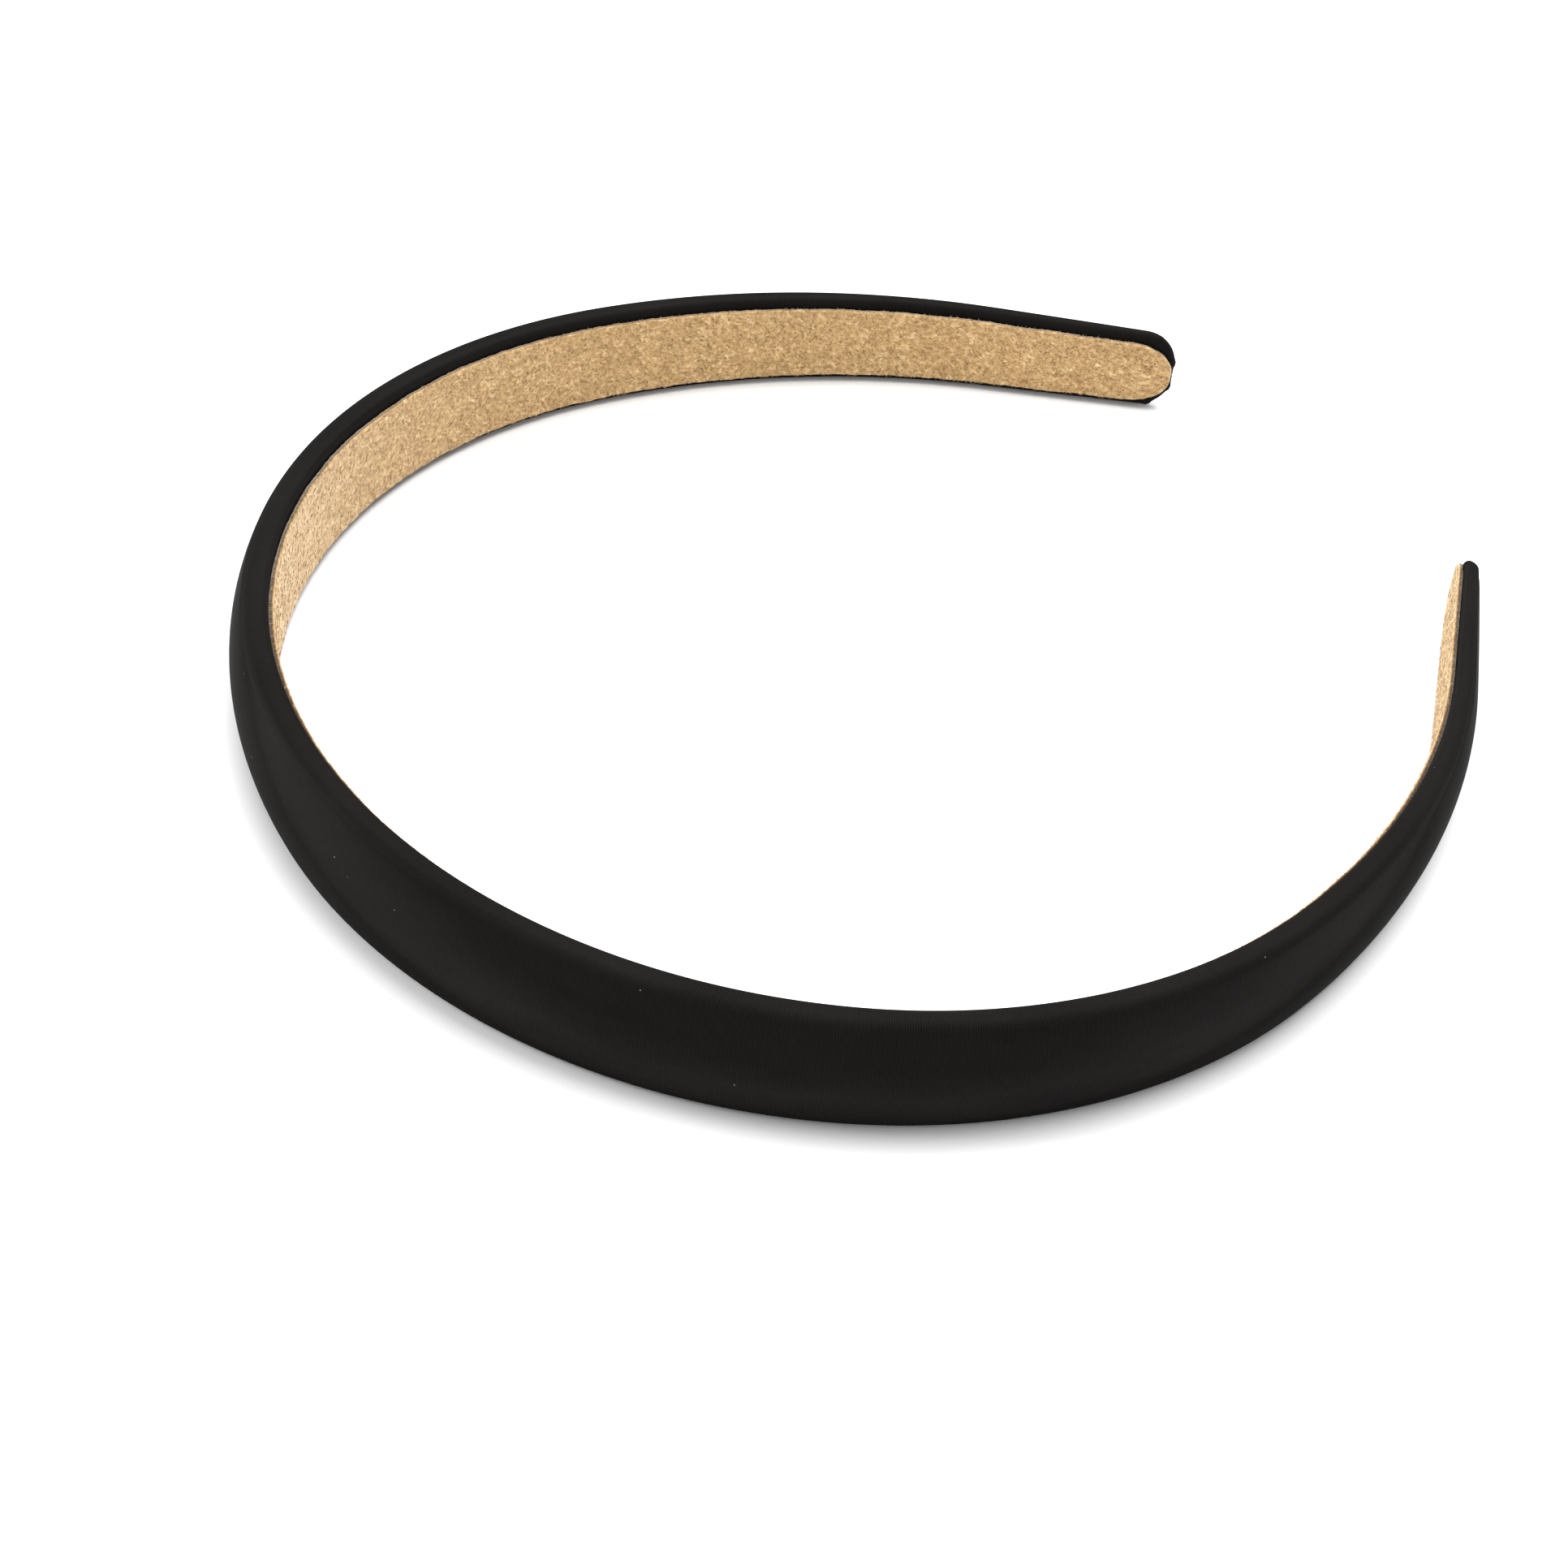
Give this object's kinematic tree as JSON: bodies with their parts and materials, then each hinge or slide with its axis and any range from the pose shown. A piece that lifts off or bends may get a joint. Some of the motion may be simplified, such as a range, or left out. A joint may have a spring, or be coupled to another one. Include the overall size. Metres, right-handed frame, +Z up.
{
  "type": "hoop headband",
  "caption": "Narrow satin-covered hoop headband with a suede lining, wider at the crown, that springs open to grip the head.",
  "frame": {"origin": "middle of the footprint of the band lying on its side edge, on the surface that it lies on", "axes": "+Z up, along the band's width; the crown is towards -Y and the open end towards +Y; the left half is on the -X side"},
  "size_m": [0.1376, 0.1418, 0.015],
  "materials": {
    "satin": "black satin weave with a soft sheen",
    "suede": "tan short-fibre suede, matt",
    "core_plastic": "black moulded plastic, satin",
    "adhesive_film": "clear yellowish adhesive film"
  },
  "bodies": {
    "left_half": {"hoop_core_left": "core_plastic", "satin_cover_left": "satin", "lining_film_left": "adhesive_film", "suede_lining_left": "suede"},
    "right_half": {"hoop_core_right": "core_plastic", "satin_cover_right": "satin", "lining_film_right": "adhesive_film", "suede_lining_right": "suede"}
  },
  "joints": [
    {"name": "crown_flex", "type": "hinge", "parent": "left_half", "child": "right_half", "pos_m": [0, -0.07087, 0.00755], "axis": [0, -0.0147, -0.9999], "range_deg": [0, 36], "stiffness_Nm_per_rad": 0.45}
  ]
}
